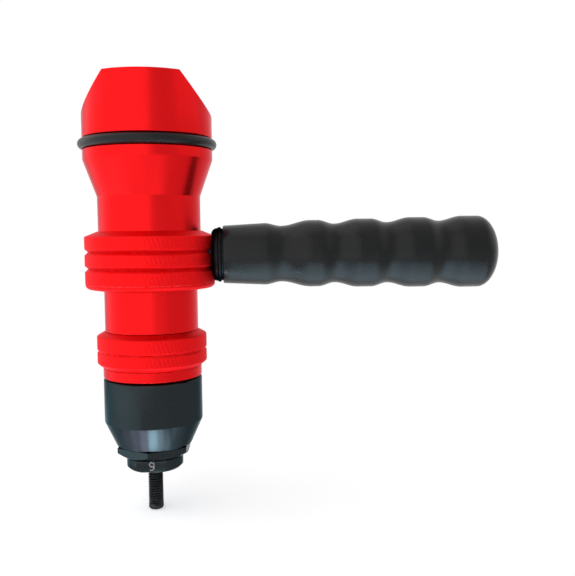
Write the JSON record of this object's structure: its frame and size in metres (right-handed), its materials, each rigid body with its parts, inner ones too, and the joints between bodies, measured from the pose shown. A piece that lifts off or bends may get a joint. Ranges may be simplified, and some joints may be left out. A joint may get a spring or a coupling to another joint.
{
  "type": "rivet nut tool",
  "caption": "Screw-driven rivet nut setting tool: red turned body with knurled collar and stroke ring, black nose, threaded mandrel and ribbed side handle.",
  "frame": {"origin": "on the tool axis in the plane of the anvil face, where the flange of the rivet nut seats and the mandrel comes out", "axes": "+Z along the tool axis from the anvil up to the drive cap, so the mandrel points to -Z; +X along the side handle, away from the body"},
  "size_m": [0.1666, 0.0536, 0.1704],
  "materials": {
    "red_anodised": "bright red anodised, fine turned finish",
    "black_steel": "blackened, satin",
    "bright_steel": "ground",
    "tool_steel": "hardened and tempered",
    "bronze": "turned bronze",
    "black_rubber": "smooth moulded rubber",
    "black_grip": "fine satin grain"
  },
  "bodies": {
    "housing": {"main_body": "red_anodised", "end_cap": "red_anodised", "body_o_ring": "black_rubber", "cap_bush": "bronze", "thrust_washer": "bronze", "lower_race": "bright_steel", "guide_pins": "bright_steel", "ring_circlip": "black_steel", "collar_circlip": "black_steel"},
    "drive": {"drive_shaft": "tool_steel", "upper_race": "bright_steel"},
    "bearing": {"ball_cage": "bronze", "thrust_balls": "bright_steel"},
    "puller": {"pull_sleeve": "tool_steel", "backing_disc": "bright_steel", "mandrel_holder": "black_steel", "mandrel": "black_steel"},
    "nose": {"nose_housing": "black_steel", "nose_keys": "bright_steel", "anvil": "black_steel", "anvil_lock_nut": "black_steel"},
    "ring": {"stroke_ring": "red_anodised", "ring_insert": "red_anodised"},
    "handle": {"handle_collar": "red_anodised", "lock_shoe": "bronze", "handle_base": "black_steel", "handle_stud": "bright_steel", "handle_grip": "black_grip"}
  },
  "joints": [
    {"name": "drive_spin", "type": "hinge", "parent": "housing", "child": "drive", "pos_m": [0, 0, 0.14], "axis": [0, 0, 1], "range_deg": [-1260, 0]},
    {"name": "mandrel_pull", "type": "slide", "parent": "housing", "child": "puller", "axis": [0, 0, 1], "range_m": [0, 0.007]},
    {"name": "cage_spin", "type": "hinge", "parent": "housing", "child": "bearing", "pos_m": [0, 0, 0.1145], "axis": [0, 0, 1], "range_deg": [-630, 0]},
    {"name": "stroke_ring_turn", "type": "hinge", "parent": "housing", "child": "ring", "pos_m": [0, 0, 0.048], "axis": [0, 0, 1], "range_deg": [0, 720]},
    {"name": "nose_extend", "type": "slide", "parent": "housing", "child": "nose", "axis": [0, 0, -1], "range_m": [0, 0.003]},
    {"name": "handle_swivel", "type": "hinge", "parent": "housing", "child": "handle", "pos_m": [0, 0, 0.0847], "axis": [0, 0, 1], "continuous": true}
  ],
  "couplings": [
    {"joint": "drive_spin", "follows": "mandrel_pull", "rad_per_m": -3141.6},
    {"joint": "cage_spin", "follows": "mandrel_pull", "rad_per_m": -1570.8},
    {"joint": "stroke_ring_turn", "follows": "nose_extend", "rad_per_m": 4188.8}
  ]
}
